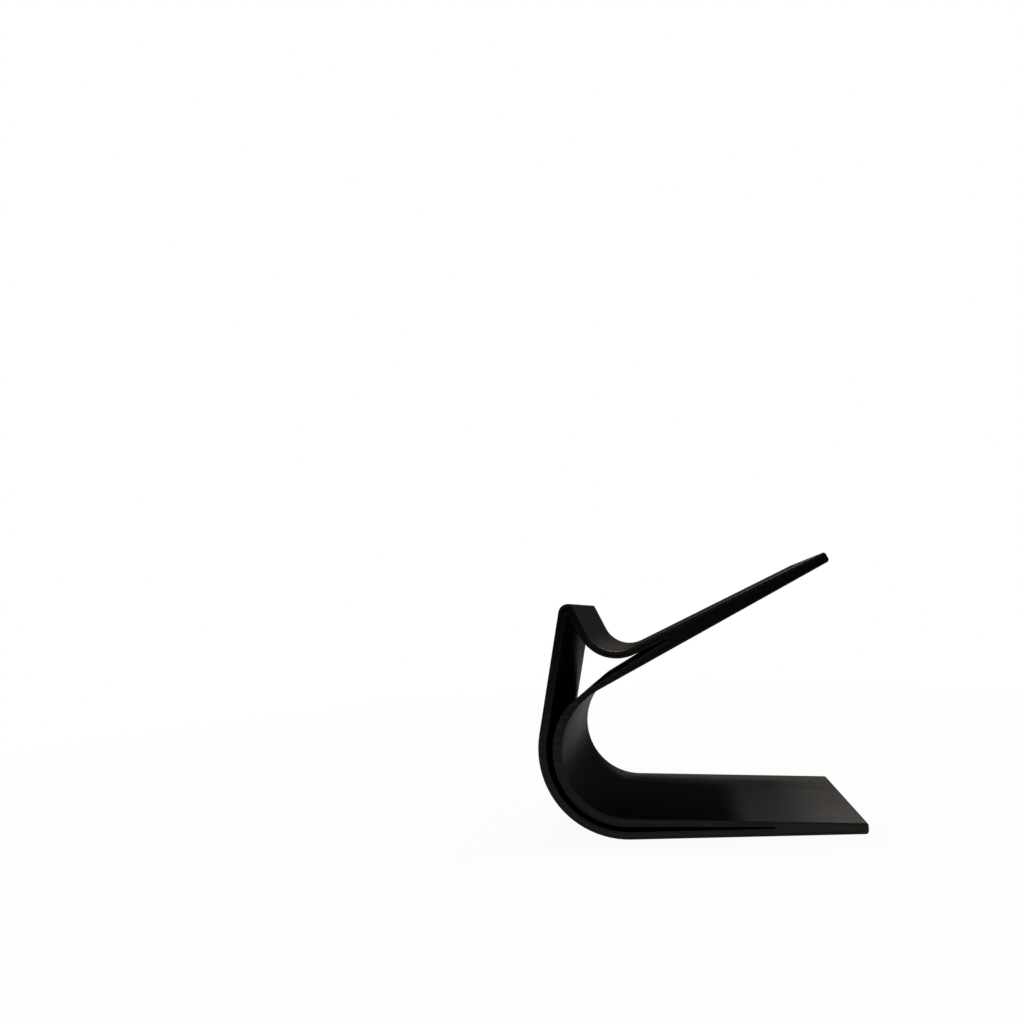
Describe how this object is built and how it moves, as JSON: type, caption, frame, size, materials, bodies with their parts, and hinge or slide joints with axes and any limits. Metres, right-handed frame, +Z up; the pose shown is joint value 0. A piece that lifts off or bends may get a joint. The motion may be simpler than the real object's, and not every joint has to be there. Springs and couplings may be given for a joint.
{
  "type": "game controller stand",
  "caption": "One-piece printed ribbon stand: flat foot, round heel bend, leaning front wall, hooked cradle and long sloping arm that carries a game controller.",
  "frame": {"origin": "on the ground, under the middle of the stand's length and width", "axes": "+X from the heel bend to the tip of the foot, +Y across the width away from the viewer, +Z up"},
  "size_m": [0.0988, 0.053, 0.0849],
  "materials": {
    "controller_stand": "black printed plastic, satin, with fine layer lines"
  },
  "bodies": {
    "root": {"controller_stand": "controller_stand"}
  },
  "joints": []
}
